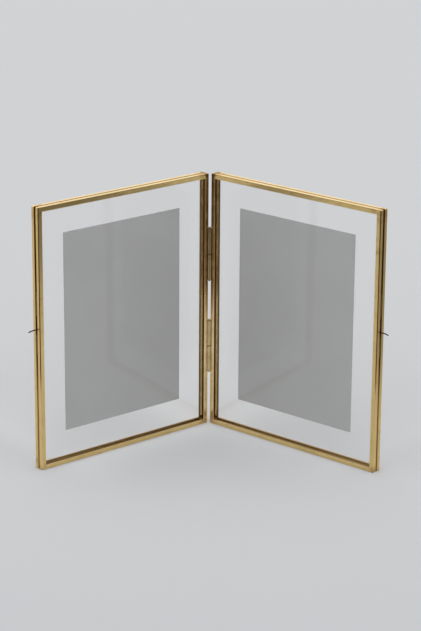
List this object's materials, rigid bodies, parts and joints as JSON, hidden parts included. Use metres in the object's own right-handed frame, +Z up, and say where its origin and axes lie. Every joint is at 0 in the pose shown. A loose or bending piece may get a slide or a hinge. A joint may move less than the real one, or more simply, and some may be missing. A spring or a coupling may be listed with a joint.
{
  "type": "double photo frame",
  "caption": "Folding double photo frame: two glass leaves in slim brass bars, hinged like a book, each opening at the back and held shut by a sliding wire bolt.",
  "frame": {"origin": "on the table, under the middle of the standing frame's box", "axes": "+Z up, +X from the left leaf to the right leaf, -Y towards the viewer, into the open V"},
  "size_m": [0.3042, 0.1304, 0.234],
  "materials": {
    "brass_bars": "polished brass, lightly aged",
    "brass_fittings": "satin brass tube, duller than the bars",
    "brass_wire": "drawn brass wire, darkened",
    "glass": "clear float glass",
    "print": "plain matt photo paper"
  },
  "bodies": {
    "left_leaf": {"left_front_top_rail": "brass_bars", "left_front_bottom_rail": "brass_bars", "left_front_hinge_stile": "brass_bars", "left_front_latch_stile": "brass_bars", "left_front_glass": "glass", "left_print": "print", "left_latch_guide": "brass_fittings", "left_upper_door_strap": "brass_fittings", "left_upper_door_pin": "brass_wire", "left_lower_door_strap": "brass_fittings", "left_lower_door_pin": "brass_wire", "upper_hinge_left_knuckle": "brass_fittings", "upper_hinge_pin": "brass_wire", "lower_hinge_left_knuckle": "brass_fittings", "lower_hinge_pin": "brass_wire"},
    "right_leaf": {"right_front_top_rail": "brass_bars", "right_front_bottom_rail": "brass_bars", "right_front_hinge_stile": "brass_bars", "right_front_latch_stile": "brass_bars", "right_front_glass": "glass", "right_print": "print", "right_latch_guide": "brass_fittings", "right_upper_door_strap": "brass_fittings", "right_upper_door_pin": "brass_wire", "right_lower_door_strap": "brass_fittings", "right_lower_door_pin": "brass_wire", "upper_hinge_right_knuckle": "brass_fittings", "lower_hinge_right_knuckle": "brass_fittings"},
    "left_door": {"left_rear_top_rail": "brass_bars", "left_rear_bottom_rail": "brass_bars", "left_rear_hinge_stile": "brass_bars", "left_rear_latch_stile": "brass_bars", "left_rear_glass": "glass", "left_latch_keeper": "brass_fittings", "left_upper_door_knuckle": "brass_fittings", "left_lower_door_knuckle": "brass_fittings"},
    "right_door": {"right_rear_top_rail": "brass_bars", "right_rear_bottom_rail": "brass_bars", "right_rear_hinge_stile": "brass_bars", "right_rear_latch_stile": "brass_bars", "right_rear_glass": "glass", "right_latch_keeper": "brass_fittings", "right_upper_door_knuckle": "brass_fittings", "right_lower_door_knuckle": "brass_fittings"},
    "left_bolt": {"left_latch_bolt": "brass_wire"},
    "right_bolt": {"right_latch_bolt": "brass_wire"}
  },
  "joints": [
    {"name": "book_hinge", "type": "hinge", "parent": "left_leaf", "child": "right_leaf", "pos_m": [0, 0.05842, 0], "axis": [0, 0, 1], "range_deg": [-99, 81]},
    {"name": "left_door_hinge", "type": "hinge", "parent": "left_leaf", "child": "left_door", "pos_m": [-0.0065, 0.06418, 0], "axis": [0, 0, -1], "range_deg": [0, 90]},
    {"name": "right_door_hinge", "type": "hinge", "parent": "right_leaf", "child": "right_door", "pos_m": [0.0065, 0.06418, 0], "axis": [0, 0, 1], "range_deg": [0, 90]},
    {"name": "left_bolt_slide", "type": "slide", "parent": "left_leaf", "child": "left_bolt", "axis": [0, 0, 1], "range_m": [-0.004, 0.011]},
    {"name": "right_bolt_slide", "type": "slide", "parent": "right_leaf", "child": "right_bolt", "axis": [0, 0, 1], "range_m": [-0.004, 0.011]}
  ]
}
